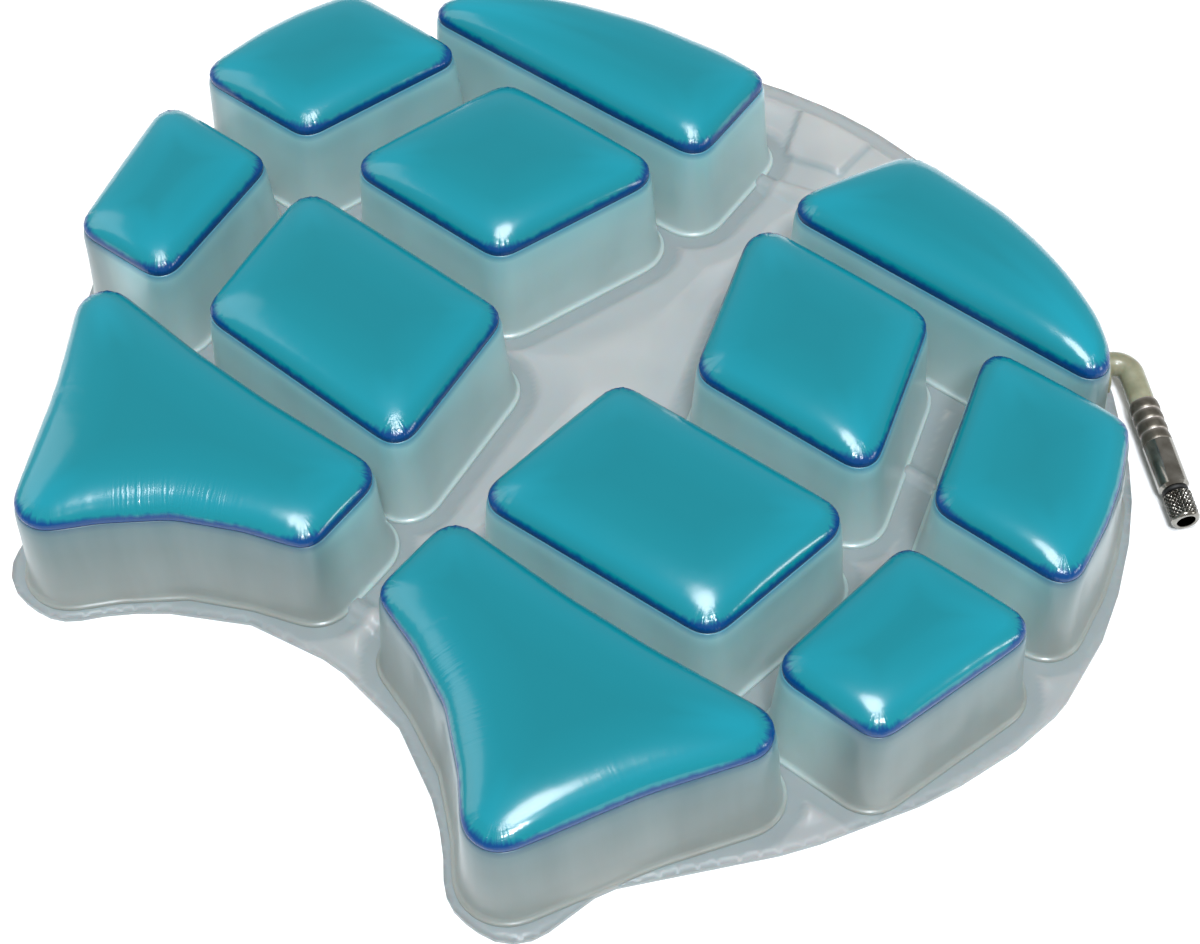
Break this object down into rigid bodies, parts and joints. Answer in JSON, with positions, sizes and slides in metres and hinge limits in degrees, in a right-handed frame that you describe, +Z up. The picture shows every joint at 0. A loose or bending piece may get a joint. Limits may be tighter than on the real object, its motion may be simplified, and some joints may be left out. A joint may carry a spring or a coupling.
{
  "type": "pressure relief cushion",
  "caption": "Seat-sized pressure relief cushion: tall air cells on a flat notched base, a crowned gel pad on each cell, and a screw-down inflation valve.",
  "frame": {"origin": "centre of the flat underside, on the line between the left and right cells", "axes": "+Z up, +X to the side with the valve, +Y to the rounded end, -Y to the notched end"},
  "size_m": [0.3634, 0.3174, 0.0487],
  "materials": {
    "base_film": "smooth milky film",
    "flange_film": "smooth milky film",
    "cell_film": "satin translucent film",
    "gel": "turquoise gel",
    "pad_film": "glossy clear skin",
    "soft_vinyl": "moulded soft vinyl",
    "plated_brass": "bright nickel plate",
    "black_rubber": "matte"
  },
  "bodies": {
    "root": {"bottom_sheet": "base_film", "flange_sheet": "flange_film", "wing_cell_left": "cell_film", "wing_cell_right": "cell_film", "upper_inner_cell_left": "cell_film", "upper_inner_cell_right": "cell_film", "upper_outer_cell_left": "cell_film", "upper_outer_cell_right": "cell_film", "lower_inner_cell_left": "cell_film", "lower_inner_cell_right": "cell_film", "lower_outer_cell_left": "cell_film", "lower_outer_cell_right": "cell_film", "lobe_cell_left": "cell_film", "lobe_cell_right": "cell_film", "wing_gel_left": "gel", "wing_gel_right": "gel", "upper_inner_gel_left": "gel", "upper_inner_gel_right": "gel", "upper_outer_gel_left": "gel", "upper_outer_gel_right": "gel", "lower_inner_gel_left": "gel", "lower_inner_gel_right": "gel", "lower_outer_gel_left": "gel", "lower_outer_gel_right": "gel", "lobe_gel_left": "gel", "lobe_gel_right": "gel", "wing_skin_left": "pad_film", "wing_skin_right": "pad_film", "upper_inner_skin_left": "pad_film", "upper_inner_skin_right": "pad_film", "upper_outer_skin_left": "pad_film", "upper_outer_skin_right": "pad_film", "lower_inner_skin_left": "pad_film", "lower_inner_skin_right": "pad_film", "lower_outer_skin_left": "pad_film", "lower_outer_skin_right": "pad_film", "lobe_skin_left": "pad_film", "lobe_skin_right": "pad_film", "inlet_gland": "soft_vinyl", "inlet_elbow": "soft_vinyl", "hose_ferrule": "plated_brass", "valve_barrel": "plated_brass", "seal_ring": "black_rubber"},
    "stem": {"valve_stem": "plated_brass", "stem_seal": "black_rubber", "stem_clip": "plated_brass"},
    "collar": {"valve_collar": "plated_brass"}
  },
  "joints": [
    {"name": "stem_rise", "type": "slide", "parent": "root", "child": "stem", "axis": [0.7426, -0.6687, -0.0366], "range_m": [0, 0.0015]},
    {"name": "collar_turn", "type": "hinge", "parent": "stem", "child": "collar", "pos_m": [0.17389, 0.08285, 0.00515], "axis": [0.7426, -0.6687, -0.0366], "range_deg": [0, 540]}
  ],
  "couplings": [
    {"joint": "collar_turn", "follows": "stem_rise", "rad_per_m": 6283}
  ]
}
